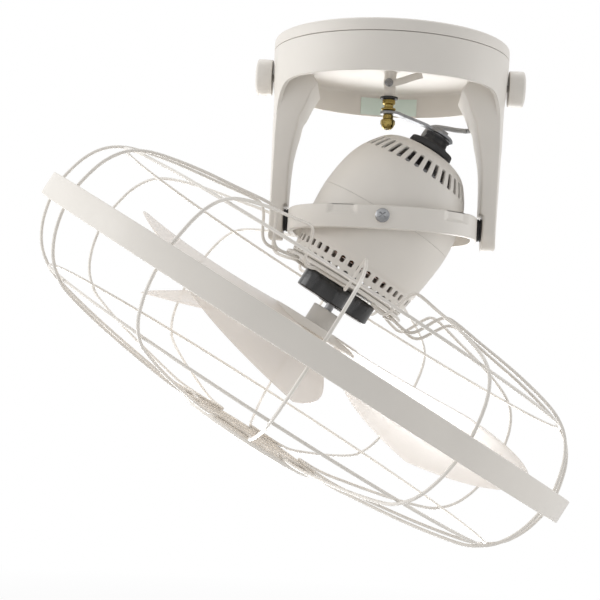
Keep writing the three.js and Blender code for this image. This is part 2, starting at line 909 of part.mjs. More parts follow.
function fanBlade() {
  const hub = turned([
    [SHAFT_R + GAP, -95.5],
    [HUB_COLLAR_R - 1, -95.5],
    [HUB_COLLAR_R, -96.5],
    [HUB_COLLAR_R, -112],
    [HUB_DISC_R, -113],
    [HUB_DISC_R, -121],
    [HUB_COLLAR_R, -121],
    [HUB_COLLAR_R - 2, -117],
    [SHAFT_R + GAP, -117],
  ]);
  const blades = Array.from({ length: BLADE_COUNT }, (_, i) =>
    blade(BLADE.firstDeg + (360 / BLADE_COUNT) * i),
  );
  const shaftSpace = round(HUB_COLLAR_R - 2, -140, -117 - GAP, 0, 24);
  return joined([hub, ...blades]).subtract(shaftSpace);
}
add(head, "fan_blade", fanBlade(), MATERIAL.blade);
add(
  head,
  "blade_nut",
  turned(
    [
      [SHAFT_R + GAP, -117.6],
      [10, -117.6],
      [10, -124],
      [HUB_COLLAR_R + 2, -124],
      [HUB_COLLAR_R, -131],
      [SHAFT_R + 4, -133],
      [SHAFT_R + GAP, -133],
    ],
    18,
  ),
  MATERIAL.nylon,
);
add(head, "motor_shaft", round(SHAFT_R, -130, WORM_Z - 8.3, 0, 16), MATERIAL.steel);
add(
  head,
  "rotor",
  round(28, -31, 9, SHAFT_R + GAP, 30),
  MATERIAL.steel,
);
add(head, "worm", round(WORM_R, WORM_Z - 8, WORM_Z + 8, 0, 16), MATERIAL.brass);

// ---- Crank ----------------------------------------------------------------------------------

const OUTPUT_END = 104;
add(
  head,
  "output_shaft",
  joined([
    round(7.2, 60, OUTPUT_END - 3, 0, 16),
    round(4, OUTPUT_END - 4, OUTPUT_END + 3.2, 0, 16),
    round(25, 54, 60, 0, 32),
  ]),
  MATERIAL.steel,
);

// The crank plate in the XZ plane: level at its eye, then down to lie square to the head's axis.
function crankPlate() {
  const onAxis = (along, out) => [
    along * Math.cos(LEAN) + out * Math.sin(LEAN),
    GIMBAL_Z - along * Math.sin(LEAN) + out * Math.cos(LEAN),
  ];
  const seat = OUTPUT_END - 3 + GAP;
  const upper = [
    [-10.5, CRANK_EYE_Z],
    [9, CRANK_EYE_Z],
    onAxis(-11, seat + CRANK_SHEET),
    onAxis(11.6, seat + CRANK_SHEET),
    onAxis(15.6, seat - 4),
  ];
  const lower = [
    onAxis(13.2, seat - 5),
    onAxis(10.9, seat),
    onAxis(-11.4, seat),
    [8.4, CRANK_EYE_Z - CRANK_SHEET],
    [-10.5, CRANK_EYE_Z - CRANK_SHEET],
  ];
  const strip = raised([...upper, ...lower], -CRANK_WIDTH / 2, CRANK_WIDTH / 2).rotate([90, 0, 0]);
  const eyeHole = moved(round(4.4, -8, 8, 0, 16), ROD_X, 0, CRANK_EYE_Z);
  const axisHole = round(4 + GAP, 90, 120, 0, 16)
    .rotate([0, LEAN / DEG, 0])
    .translate([0, 0, GIMBAL_Z]);
  return without(strip, [eyeHole, axisHole]);
}
add(fan, "crank_plate", crankPlate(), MATERIAL.zinc);
add(
  fan,
  "eye_bush",
  turned(
    [
      [0, CRANK_EYE_Z - CRANK_SHEET - 0.2],
      [4.1, CRANK_EYE_Z - CRANK_SHEET - 0.2],
      [4.1, CRANK_EYE_Z + GAP],
      [4.6, CRANK_EYE_Z + GAP],
      [4.6, -56],
      [6.15, -55.6],
      [6.15, -51],
      [0, -51],
    ],
    SMALL_FACETS,
  ),
  MATERIAL.brass,
);
const NUT_TOP = CRANK_EYE_Z - CRANK_SHEET - GAP - 0.2;
function acornNut() {
  const hexagon = round(6.9, NUT_TOP - 9.4, NUT_TOP - 5, 0, 6);
  const body = turned(
    [
      [0, NUT_TOP],
      [5, NUT_TOP],
      [5, NUT_TOP - 4],
      [6.2, NUT_TOP - 4.7],
      [6.2, NUT_TOP - 9.8],
      [5.3, NUT_TOP - 12],
      [3.2, NUT_TOP - 13.9],
      [1.8, NUT_TOP - 13.9],
      [1.8, NUT_TOP - 12.4],
      [0, NUT_TOP - 12.4],
    ],
    SMALL_FACETS,
  );
  return joined([hexagon, body]);
}
add(fan, "acorn_nut", acornNut(), MATERIAL.brass);
add(
  head,
  "crank_nut",
  turned(
    [
      [5, OUTPUT_END - 3 + CRANK_SHEET + 2 * GAP],
      [7.4, OUTPUT_END - 3 + CRANK_SHEET + 2 * GAP],
      [7.4, OUTPUT_END + 3],
      [5, OUTPUT_END + 3],
    ],
    6,
  ),
  MATERIAL.zinc,
);

// ---- Supply cable ---------------------------------------------------------------------------

// Two lengths end to end: from the motor to a point behind the right arm, and from there up
// through the pan. The points are chosen by hand.
const MOTOR_CABLE = [
  [24.9, 24, -97.9],
  [29.8, 24, -89.1],
  [33.4, 24.1, -82.6],
  [36.2, 24.4, -76.8],
  [40, 24.8, -72.1],
  [46, 25.3, -70],
  [55.5, 26.6, -70.3],
  [65.5, 29, -71.2],
  [75, 33, -71],
];
const YOKE_CABLE = [
  [75.8, 33.5, -70.9],
  [80.5, 37.6, -69.3],
  [85, 41.6, -64.6],
  [87.6, 44.6, -56.5],
  [86.6, 46.4, -47],
  [84.2, 47, -37],
  [82.6, 47, -27],
  [82, 47, -17],
];
function cable(route) {
  const curve = new THREE.CatmullRomCurve3(route.map((p) => new THREE.Vector3(...p)));
  return bar(curve.getSpacedPoints(16), CABLE_R, 8);
}
add(fan, "motor_cable", cable(MOTOR_CABLE), MATERIAL.cable);
add(fan, "yoke_cable", cable(YOKE_CABLE), MATERIAL.cable);

export default fan;
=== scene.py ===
"""Orbital ceiling fan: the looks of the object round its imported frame. Shapes are written in millimetres
and placed in metres. Shapes of the swinging head are written in the head's own frame, whose Z axis is the
spin axis, towards the rear, and whose origin is the gimbal centre."""

import json
import math

import bmesh
import bpy
from mathutils import Matrix, Vector


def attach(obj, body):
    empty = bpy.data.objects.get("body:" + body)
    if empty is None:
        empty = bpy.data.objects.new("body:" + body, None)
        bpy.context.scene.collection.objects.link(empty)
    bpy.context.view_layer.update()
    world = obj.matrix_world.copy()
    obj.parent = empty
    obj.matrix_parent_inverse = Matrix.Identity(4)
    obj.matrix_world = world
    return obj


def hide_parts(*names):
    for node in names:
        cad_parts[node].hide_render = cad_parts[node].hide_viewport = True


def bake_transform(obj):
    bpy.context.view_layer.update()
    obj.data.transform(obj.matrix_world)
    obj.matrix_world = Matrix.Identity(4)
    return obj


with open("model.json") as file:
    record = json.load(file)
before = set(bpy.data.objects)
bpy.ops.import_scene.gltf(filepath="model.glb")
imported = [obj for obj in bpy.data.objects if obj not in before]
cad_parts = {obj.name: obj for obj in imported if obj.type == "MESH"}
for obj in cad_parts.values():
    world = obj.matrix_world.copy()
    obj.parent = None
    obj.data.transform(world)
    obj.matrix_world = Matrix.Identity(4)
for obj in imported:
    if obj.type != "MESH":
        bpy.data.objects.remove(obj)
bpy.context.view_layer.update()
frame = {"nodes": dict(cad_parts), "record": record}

MM = 0.001
GIMBAL_Z = -171
LEAN = math.radians(29.25)
SCALE = Matrix.Scale(MM, 4)
WORLD = SCALE
LEVEL = SCALE @ Matrix.Translation((0, 0, GIMBAL_Z))  # the gimbal ring's frame
HEAD = LEVEL @ Matrix.Rotation(LEAN, 4, "Y")
ALONG_X = Matrix.Rotation(math.pi / 2, 4, "Y")  # +Z becomes +X
ALONG_MINUS_Y = Matrix.Rotation(math.pi / 2, 4, "X")  # +Z becomes -Y
FACE_ANGLE = math.radians(35)  # a sharper edge than this stays a crisp line
TUBE_ANGLE = math.radians(60)  # the same for round wires, which have few sides
ROUND = 144  # segments of a large round piece
SAME_PLACE = 1e-5


# ---- Camera ---------------------------------------------------------------------------------


def make_camera():
    """The photograph's view, fitted to the object's outlines."""
    yaw, pitch, roll = (math.radians(a) for a in (-3.131, 3.466, 3.461))
    level_ahead = Vector((math.sin(yaw), math.cos(yaw), 0))
    level_right = Vector((math.cos(yaw), -math.sin(yaw), 0))
    up = Vector((0, 0, 1))
    ahead = level_ahead * math.cos(pitch) + up * math.sin(pitch)
    upright = up * math.cos(pitch) - level_ahead * math.sin(pitch)
    right = level_right * math.cos(roll) + upright * math.sin(roll)
    top = upright * math.cos(roll) - level_right * math.sin(roll)
    data = bpy.data.cameras.new("camera")
    data.sensor_width = 36
    data.lens = 85.43
    camera = bpy.data.objects.new("camera", data)
    bpy.context.scene.collection.objects.link(camera)
    place = Matrix((right, top, -ahead)).transposed().to_4x4()
    place.translation = (0.00028, -1.34259, -0.32747)
    camera.matrix_world = place
    bpy.context.scene.camera = camera


make_camera()

# ---- Materials ------------------------------------------------------------------------------


class Look:
    """A procedural material under construction."""

    def __init__(self, name):
        self.material = bpy.data.materials.new(name)
        self.material.use_nodes = True
        self.nodes = self.material.node_tree.nodes
        self.links = self.material.node_tree.links
        self.shader = self.nodes["Principled BSDF"]
        self.place = self.nodes.new("ShaderNodeTexCoord").outputs["Object"]

    def set(self, **sockets):
        for name, value in sockets.items():
            self.shader.inputs[name.replace("_", " ")].default_value = value
        return self

    def noise(self, scale, detail=2.0, stretch=None, roughness=0.5):
        node = self.nodes.new("ShaderNodeTexNoise")
        node.inputs["Scale"].default_value = scale
        node.inputs["Detail"].default_value = detail
        node.inputs["Roughness"].default_value = roughness
        source = self.place
        if stretch:
            mapping = self.nodes.new("ShaderNodeMapping")
            mapping.inputs["Scale"].default_value = stretch
            self.links.new(source, mapping.inputs["Vector"])
            source = mapping.outputs["Vector"]
        self.links.new(source, node.inputs["Vector"])
        return node.outputs["Fac"]

    def spread(self, source, low, high, start=0.3, end=0.7):
        node = self.nodes.new("ShaderNodeMapRange")
        node.inputs["From Min"].default_value = start
        node.inputs["From Max"].default_value = end
        node.inputs["To Min"].default_value = low
        node.inputs["To Max"].default_value = high
        self.links.new(source, node.inputs["Value"])
        return node.outputs["Result"]

    def colours(self, source, first, second):
        """Colour between two, as the source goes from low to high."""
        ramp = self.nodes.new("ShaderNodeValToRGB")
        ramp.color_ramp.elements[0].position = 0.35
        ramp.color_ramp.elements[1].position = 0.65
        ramp.color_ramp.elements[0].color = (*first, 1)
        ramp.color_ramp.elements[1].color = (*second, 1)
        self.links.new(source, ramp.inputs["Fac"])
        self.links.new(ramp.outputs["Color"], self.shader.inputs["Base Color"])
        return self

    def rough(self, source, low, high):
        self.links.new(self.spread(source, low, high), self.shader.inputs["Roughness"])
        return self

    def bumps(self, source, strength, distance):
        bump = self.nodes.new("ShaderNodeBump")
        bump.inputs["Strength"].default_value = strength
        bump.inputs["Distance"].default_value = distance
        self.links.new(source, bump.inputs["Height"])
        self.links.new(bump.outputs["Normal"], self.shader.inputs["Normal"])
        return self


def shade(colour, share):
    return tuple(c * share for c in colour)


def make_looks():
    looks = {}
    warm = (0.735, 0.70, 0.65)
    look = Look("warm_white_plastic").set(Specular_IOR_Level=0.42, Coat_Weight=0.08, Coat_Roughness=0.35)
    look.colours(look.noise(14, 3), shade(warm, 0.97), shade(warm, 1.02))
    look.rough(look.noise(60, 3), 0.42, 0.5).bumps(look.noise(160, 2), 0.04, 0.0001)
    looks["warm_white_plastic"] = look

    look = Look("guard_paint").set(Specular_IOR_Level=0.5, Coat_Weight=0.25, Coat_Roughness=0.25)
    look.colours(look.noise(40, 3), shade(warm, 0.95), shade(warm, 1.03))
    look.rough(look.noise(60, 3), 0.34, 0.42).bumps(look.noise(120, 2), 0.04, 0.0001)
    looks["guard_paint"] = look

    milk = (0.80, 0.74, 0.68)
    look = Look("blade_plastic").set(Alpha=0.66, Specular_IOR_Level=0.45)
    look.colours(look.noise(9, 2), shade(milk, 0.98), shade(milk, 1.02))
    look.rough(look.noise(50, 3), 0.28, 0.36).bumps(look.noise(140, 2), 0.03, 0.0001)
    looks["blade_plastic"] = look

    look = Look("nylon").set(Specular_IOR_Level=0.4)
    look.colours(look.noise(120, 3), (0.74, 0.71, 0.66), (0.80, 0.77, 0.72))
    look.rough(look.noise(400, 3), 0.5, 0.6).bumps(look.noise(2000, 2), 0.05, 0.0001)
    looks["nylon"] = look

    look = Look("black_plastic").set(Specular_IOR_Level=0.5, Coat_Weight=0.5, Coat_Roughness=0.12)
    look.colours(look.noise(60, 3), (0.006, 0.006, 0.007), (0.012, 0.012, 0.013))
    look.rough(look.noise(200, 4), 0.18, 0.26).bumps(look.noise(1500, 2), 0.05, 0.0001)
    looks["black_plastic"] = look

    look = Look("black_rubber").set(Specular_IOR_Level=0.35)
    look.colours(look.noise(90, 4), (0.034, 0.034, 0.035), (0.05, 0.05, 0.051))
    look.rough(look.noise(500, 4), 0.55, 0.7).bumps(look.noise(2400, 3), 0.12, 0.0001)
    looks["black_rubber"] = look

    look = Look("zinc").set(Metallic=1.0)
    streaks = look.noise(120, 2, stretch=(1, 0.3, 1))
    look.colours(streaks, (0.27, 0.275, 0.285), (0.36, 0.365, 0.375))
    look.rough(streaks, 0.26, 0.34).bumps(streaks, 0.03, 0.0001)
    looks["zinc"] = look

    look = Look("steel").set(Metallic=1.0)
    look.colours(look.noise(150, 4), (0.30, 0.30, 0.31), (0.42, 0.42, 0.43))
    look.rough(look.noise(300, 4), 0.35, 0.5).bumps(look.noise(800, 3), 0.05, 0.0001)
    looks["steel"] = look

    look = Look("gearbox_aluminium").set(Metallic=1.0)
    look.colours(look.noise(200, 5), (0.42, 0.42, 0.43), (0.52, 0.52, 0.53))
    look.rough(look.noise(700, 4), 0.45, 0.6).bumps(look.noise(1500, 3), 0.15, 0.0001)
    looks["gearbox_aluminium"] = look

    look = Look("brass").set(Metallic=1.0)
    turned_lines = look.noise(300, 2, stretch=(0.1, 0.1, 1))
    look.colours(look.noise(50, 2), (0.36, 0.275, 0.085), (0.44, 0.335, 0.11))
    look.rough(turned_lines, 0.14, 0.2).bumps(turned_lines, 0.03, 0.0001)
    looks["brass"] = look

    look = Look("copper_winding").set(Metallic=0.8, Coat_Weight=0.4, Coat_Roughness=0.2)
    strands = look.noise(900, 3, stretch=(1, 1, 0.15))
    look.colours(strands, (0.32, 0.10, 0.03), (0.50, 0.20, 0.08))
    look.rough(strands, 0.3, 0.45).bumps(strands, 0.5, 0.0003)
    looks["copper_winding"] = look

    look = Look("label_paper").set(Specular_IOR_Level=0.35)
    look.colours(look.noise(70, 4), (0.66, 0.77, 0.70), (0.70, 0.80, 0.74))
    look.rough(look.noise(500, 4), 0.5, 0.62).bumps(look.noise(3000, 4), 0.04, 0.0001)
    looks["label_paper"] = look

    look = Look("grey_cable").set(Specular_IOR_Level=0.4)
    look.colours(look.noise(80, 3), (0.40, 0.40, 0.405), (0.48, 0.48, 0.485))
    look.rough(look.noise(400, 3), 0.42, 0.55).bumps(look.noise(1800, 3), 0.08, 0.0001)
    looks["grey_cable"] = look
    return {name: look.material for name, look in looks.items()}


LOOKS = make_looks()
for part in frame["record"]["subparts"]:
    mesh = frame["nodes"][part["node"]].data
    mesh.materials.clear()
    mesh.materials.append(LOOKS[part["material_slot"]])

# ---- Shapes ---------------------------------------------------------------------------------


def softened(points, steps=4):
    """A closed outline of (x, y) or (x, y, radius) corners. Those that state a radius are rounded."""
    result = []
    for i, (x, y, *more) in enumerate(points):
        radius = more[0] if more else 0
        if not radius:
            result.append((x, y))
            continue
        here = Vector((x, y))
        before = (Vector(points[i - 1][:2]) - here).normalized()
        after = (Vector(points[(i + 1) % len(points)][:2]) - here).normalized()
        half = before.angle(after) / 2
        centre = here + (before + after).normalized() * radius / math.sin(half)
        start = here + before * radius / math.tan(half) - centre
        end = here + after * radius / math.tan(half) - centre
        for step in range(steps + 1):
            arm = start.lerp(end, step / steps).normalized() * radius
            result.append(tuple(centre + arm))
    return result


def smoothed(points, samples=6):
    """A Catmull-Rom line through the given points of any dimension."""
    points = [Vector(p) for p in points]
    before_first = 2 * points[0] - points[1]
    after_last = 2 * points[-1] - points[-2]
    run = [before_first, *points, after_last]
    result = []
    for a, b, c, d in zip(run, run[1:], run[2:], run[3:]):
        for step in range(samples):
            t = step / samples
            square = (2 * a - 5 * b + 4 * c - d) * t**2
            cube = (3 * b - 3 * c + d - a) * t**3
            result.append(0.5 * (2 * b + (c - a) * t + square + cube))
    result.append(points[-1])
    return result


def circle(count):
    """Turns that go once round."""
    return [2 * math.pi * i / count for i in range(count)]


def polar(r, turn, z):
    return Vector((r * math.cos(turn), r * math.sin(turn), z))


def skin(bm, rings, loop=False, capped=False):
    """Quads between closed rings of points. loop joins the last ring to the first, capped closes both."""
    made = [[bm.verts.new(p) for p in ring] for ring in rings]
    pairs = list(zip(made, made[1:]))
    if loop:
        pairs.append((made[-1], made[0]))
    for first, second in pairs:
        for i in range(len(first)):
            j = (i + 1) % len(first)
            bm.faces.new((first[i], first[j], second[j], second[i]))
    if capped:
        bm.faces.new(made[0][::-1])
        bm.faces.new(made[-1])
    return bm


def turned(bm, profile, segments=ROUND):
    """A closed (radius, height) outline turned round Z. Points on the axis become one."""
    skin(bm, [[polar(r, a, z) for a in circle(segments)] for r, z in profile], loop=True)
    bmesh.ops.remove_doubles(bm, verts=bm.verts, dist=SAME_PLACE)
    return bm


def piece(name, bm, place, body, slot, *nodes, face_angle=FACE_ANGLE):
    """The finished mesh, placed in the row frame, riding on its body in place of CAD nodes."""
    bm.transform(place)
    bmesh.ops.recalc_face_normals(bm, faces=bm.faces)
    mesh = bpy.data.meshes.new(name)
    bm.to_mesh(mesh)
    bm.free()
    obj = bpy.data.objects.new(name, mesh)
    bpy.context.scene.collection.objects.link(obj)
    return dress(obj, body, slot, *nodes, face_angle=face_angle)


def dress(obj, body, slot, *nodes, face_angle=FACE_ANGLE):
    obj.data.shade_smooth()
    obj.data.set_sharp_from_angle(angle=face_angle)
    obj.data.materials.clear()
    obj.data.materials.append(LOOKS[slot])
    if body:
        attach(obj, body)
    if nodes:
        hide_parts(*nodes)
    return obj


def settled(obj):
    """The object with its modifiers made real."""
    graph = bpy.context.evaluated_depsgraph_get()
    mesh = bpy.data.meshes.new_from_object(obj.evaluated_get(graph))
    obj.modifiers.clear()
    obj.data = mesh
    return obj


def turned_piece(name, corners, place, body, slot, *nodes, segments=ROUND):
    return piece(name, turned(bmesh.new(), softened(corners), segments), place, body, slot, *nodes)


def tube(bm, points, radius, sides=12, closed=False):
    """A round tube along a line of points, with flat ends."""
    count = len(points)
    ahead = []
    for i in range(count):
        before = points[i - 1] if closed or i else points[0]
        after = points[(i + 1) % count] if closed or i < count - 1 else points[-1]
        ahead.append((Vector(after) - Vector(before)).normalized())
    side = ahead[0].orthogonal().normalized()
    rings = []
    for point, direction in zip(points, ahead):
        side = (side - direction * side.dot(direction)).normalized()
        other = direction.cross(side)
        spokes = [side * math.cos(a) + other * math.sin(a) for a in circle(sides)]
        rings.append([Vector(point) + radius * spoke for spoke in spokes])
    return skin(bm, rings, loop=closed, capped=not closed)


# ---- Ceiling base and yoke ------------------------------------------------------------------

turned_piece(
    "ceiling_base_shell",
    [(0, 0), (111.5, 0, 3.2), (111.5, -11.5, 0.5), (105.5, -11.5), (105.5, -4, 2), (0, -4)],
    WORLD,
    "ceiling_yoke",
    "warm_white_plastic",
    "ceiling_base",
)

# Right arm: (value, height) tables of its inner face, outer face and half width
ARM_INNER = [(93.3, -192), (93.3, -172), (93.3, -159.4), (90.5, -157.6), (90.2, -146), (89.9, -130)]
ARM_INNER += [(89, -114), (87.5, -104), (86, -96), (83.8, -86), (81.9, -75.5), (78.6, -69.5), (73.5, -57)]
ARM_INNER += [(68.5, -47.6), (67.2, -45.5), (68.5, -42.5), (72, -38), (74, -33), (74.5, -25)]
ARM_OUTER = [(107.0, -192), (107.1, -171), (107.4, -150), (107.8, -130), (108.3, -105), (108.7, -94)]
ARM_OUTER += [(108.9, -60), (109.4, -51), (109.9, -46.6), (110.1, -44), (110.3, -38), (111.0, -22)]
ARM_HALF = [(19.5, -171), (22, -150), (24.5, -130), (27, -110), (30, -90), (33.5, -70), (36.5, -57)]
ARM_HALF += [(38.5, -46), (40, -25)]
ARM_FOOT_R = 19.5
ARM_TOP = -25
FOOT_ROUND = 3.4  # of the outer edge round the foot
FOOT_TURN = math.radians(88)  # how far round the foot the stations go
FOOT_STATIONS, ARM_STATIONS = 24, 72
INNER_ROUND, OUTER_ROUND = 2.2, 1.2  # of the arm's long edges
BACK_STEPS = 8
SHEET_WALL = 3.3
# Where the wall's rim runs down into the arm: (half width, height)
RIM_FILLET = [(32, -76), (34.6, -68), (37.6, -62), (41.6, -57), (46.4, -53), (52, -50), (58, -48.2)]
RIM_FILLET += [(67, -47.1), (76, -46.3)]


def reading(table, z):
    """The first value of a table of (value, z) pairs at a height, with z rising."""
    for (low, z0), (high, z1) in zip(table, table[1:]):
        if z <= z1:
            return low + (high - low) * (z - z0) / (z1 - z0)
    return table[-1][0]


def arm_mesh(bm, side):
    """An arm of the yoke as a stack of outlines, from its round foot up to the pan."""
    inner, outer, halves = (smoothed(t) for t in (ARM_INNER, ARM_OUTER, ARM_HALF))
    stations = []
    for k in range(FOOT_STATIONS + 1):
        turn = FOOT_TURN * (1 - k / FOOT_STATIONS)
        stations.append((GIMBAL_Z - ARM_FOOT_R * math.sin(turn), ARM_FOOT_R * math.cos(turn)))
    for k in range(1, ARM_STATIONS + 1):
        z = GIMBAL_Z + (ARM_TOP - GIMBAL_Z) * k / ARM_STATIONS
        stations.append((z, reading(halves, z)))
    rings = []
    for z, half in stations:
        rise = min(FOOT_ROUND, z - GIMBAL_Z + ARM_FOOT_R)
        lost = FOOT_ROUND - math.sqrt(FOOT_ROUND**2 - (FOOT_ROUND - rise) ** 2)
        near, far = reading(inner, z), reading(outer, z) - lost
        limit = min(half * 0.45, (far - near) * 0.3)
        turn = math.asin(half / far)
        turns = [turn * s / BACK_STEPS for s in range(1 - BACK_STEPS, BACK_STEPS)]
        back = [(far * math.cos(a), far * math.sin(a)) for a in turns]
        corner_x = far * math.cos(turn)
        outline = [
            (near, -half, min(INNER_ROUND, limit)),
            (corner_x, -half, min(OUTER_ROUND, limit)),
            *back,
            (corner_x, half, min(OUTER_ROUND, limit)),
            (near, half, min(INNER_ROUND, limit)),
        ]
        rings.append([(side * x, y, z) for x, y in softened(outline)])
    return skin(bm, rings, capped=True)


def rim_fillet(bm, side):
    """The part of the wall that runs down into the arm, as a curved sheet."""
    outer = smoothed(ARM_OUTER)
    rings = []
    for half, z in smoothed(RIM_FILLET):
        far = reading(outer, z)
        near = far - SHEET_WALL
        turn = math.asin(half / far)
        turns = [turn * k / 24 for k in range(-24, 25)]
        ring = [(side * far * math.cos(a), far * math.sin(a), z) for a in turns]
        ring += [(side * near * math.cos(a), near * math.sin(a), z) for a in reversed(turns)]
        rings.append(ring)
    return skin(bm, rings, capped=True)


def make_yoke():
    wall = [
        (6, -20),
        (107.9, -20),
        (108.6, -12.1),
        (111.5, -12.1, 0.5),
        (110, -47, 1.2),
        (106.6, -47, 0.8),
        (106.4, -23, 3),
        (6, -23),
    ]
    bm = turned(bmesh.new(), softened(wall), 192)
    for side in (1, -1):
        arm_mesh(bm, side)
        rim_fillet(bm, side)
    piece("yoke_body", bm, WORLD, "ceiling_yoke", "warm_white_plastic", "yoke")


make_yoke()

KNOB_Z = -35

for side, word in ((1, "right"), (-1, "left")):
    knob = [
        (0, 99),
        (3.4, 99),
        (3.4, 112),
        (16.8, 112, 0.8),
        (17.2, 120),
        (17, 126.2, 2.2),
        (12, 127.6),
        (0, 128),
    ]
    turned_piece(
        f"knob_{word}",
        knob,
        WORLD @ Matrix.Translation((0, 0, KNOB_Z)) @ Matrix.Scale(side, 4, (1, 0, 0)) @ ALONG_X,
        f"knob_{word}",
        "warm_white_plastic",
        f"side_knob_{word}",
        segments=96,
    )

# ---- Drive rod, its stay and the label ------------------------------------------------------

turned_piece(
    "rod_sleeve_tube",
    [(3.3, -19.7), (9, -19.7), (9, -23.4), (6.6, -24.2), (5.7, -25.5), (5.5, -48, 0.5), (3.3, -48)],
    WORLD,
    "ceiling_yoke",
    "warm_white_plastic",
    "rod_sleeve",
    segments=64,
)
turned_piece(
    "rod_washer_disc",
    [(3.3, -48.3), (8.5, -48.3, 0.3), (8.5, -50.2, 0.3), (3.3, -50.2)],
    WORLD,
    "ceiling_yoke",
    "black_rubber",
    "rod_washer",
    segments=64,
)


STAY_HALF, STAY_END_HALF = 3.4, 2.6
STAY_FACE_Y, STAY_Z = -5.8, -35.5


def sideways(line, i):
    """Square to a line of flat points at one of them, to the left of its run."""
    ahead = (line[min(i + 1, len(line) - 1)] - line[max(i - 1, 0)]).normalized()
    return Vector((-ahead.y, ahead.x))


def make_stay():
    """A flat strip clamped to the sleeve, bent back to the pan."""
    line = smoothed([(-6, 0), (-2, 0), (4, 0), (12, 2.4), (21, 6), (30, 9)])
    section = [(-1, 0.25), (-0.9, 0), (0.9, 0), (1, 0.25), (1, 1.0), (0.9, 1.2), (-0.9, 1.2), (-1, 1.0)]
    rings = []
    for i, p in enumerate(line):
        across = sideways(line, i)
        half = STAY_HALF if i > 1 else STAY_END_HALF
        ring = [(p + across * half * share, depth) for share, depth in section]
        rings.append([(q.x, STAY_FACE_Y - depth, q.y + STAY_Z) for q, depth in ring])
    bm = skin(bmesh.new(), rings, capped=True)
    piece("rod_stay_strip", bm, WORLD, "ceiling_yoke", "warm_white_plastic", "rod_stay")


make_stay()


def cross_screw(name, profile, place, body, cut, *nodes):
    """A zinc pan head with a cross recess, its axis along Z. cut is the length, width and depth of the
    recess's two slots, and the height of their middle."""
    obj = turned_piece(name, profile, Matrix(), body, "zinc", *nodes, segments=48)
    length, width, depth, middle = cut
    bm = bmesh.new()
    for turn in (0, math.pi / 2):
        made = bmesh.ops.create_cube(bm, size=1)["verts"]
        size = Matrix.Diagonal((length, width, depth, 1))
        tilt = Matrix.Rotation(turn + math.pi / 4, 4, "Z")
        bmesh.ops.transform(bm, verts=made, matrix=tilt @ Matrix.Translation((0, 0, middle)) @ size)
    cutter_mesh = bpy.data.meshes.new("cutter")
    bm.to_mesh(cutter_mesh)
    bm.free()
    cutter = bpy.data.objects.new("cutter", cutter_mesh)
    bpy.context.scene.collection.objects.link(cutter)
    modifier = obj.modifiers.new("recess", "BOOLEAN")
    modifier.object = cutter
    modifier.operation = "DIFFERENCE"
    modifier.use_self = True
    settled(obj)
    bpy.data.objects.remove(cutter)
    obj.data.transform(place)
    obj.data.shade_smooth()
    obj.data.set_sharp_from_angle(angle=FACE_ANGLE)
    return obj


cross_screw(
    "rod_stay_screw_head",
    [(0, 0), (4, 0), (4, 0.9, 0.5), (2.6, 2), (0, 2.1)],
    WORLD @ Matrix.Translation((-1, -7.1, STAY_Z)) @ ALONG_MINUS_Y,
    "ceiling_yoke",
    (4.6, 1.0, 3.2, 2.1),
    "rod_stay_screw",
)


LABEL_HALF = math.radians(15.5)
LABEL_STEPS = 32


def make_label():
    """A bare paper label, bowed with the wall."""
    outline = softened([(106.35, -45.5, 0.1), (106.35, -28, 0.1), (106.0, -28, 0.1), (106.0, -45.5, 0.1)])
    rings = []
    for i in range(LABEL_STEPS + 1):
        turn = math.pi / 2 + LABEL_HALF * (1 - 2 * i / LABEL_STEPS)
        rings.append([polar(r, turn, z) for r, z in outline])
    bm = skin(bmesh.new(), rings, capped=True)
    piece("label_sheet", bm, WORLD, "ceiling_yoke", "label_paper", "rating_label")


make_label()

# ---- Gimbal ring ----------------------------------------------------------------------------

RING_HALF = (89, 77)
RING_WALL = (5.5, 7.7)
RING_TOP, RING_BOTTOM = 9.5, -12
RING_SQUARENESS = 2.6
POCKETS = [(-50, -23, 0.4), (56, 79, -0.6)]  # low x, high x and foot of each front notch, open at the top
POCKET_DEPTH = 2.6
POCKET_RAMP, POCKET_FOOT_RAMP = 4, 3  # how soon the notch reaches its depth, from its sides and its foot
RING_ROUND = 1.2
RING_COLUMNS, RING_ROWS = 360, 30
PAD_Y = 74


def squared(value):
    return math.copysign(abs(value) ** (2 / RING_SQUARENESS), value)


def oval(half, turn):
    return Vector((half[0] * squared(math.cos(turn)), half[1] * squared(math.sin(turn))))


def pocket_depth(x, y, z):
    """How far the outer face is pressed in at a place, the same front and rear."""
    depth = 0
    for x0, x1, z0 in POCKETS:
        if y > 0:
            x0, x1 = -x1, -x0
        inside = min((x - x0) / POCKET_RAMP, (x1 - x) / POCKET_RAMP, (z - z0) / POCKET_FOOT_RAMP)
        depth = max(depth, min(1, max(0, inside)))
    return POCKET_DEPTH * depth


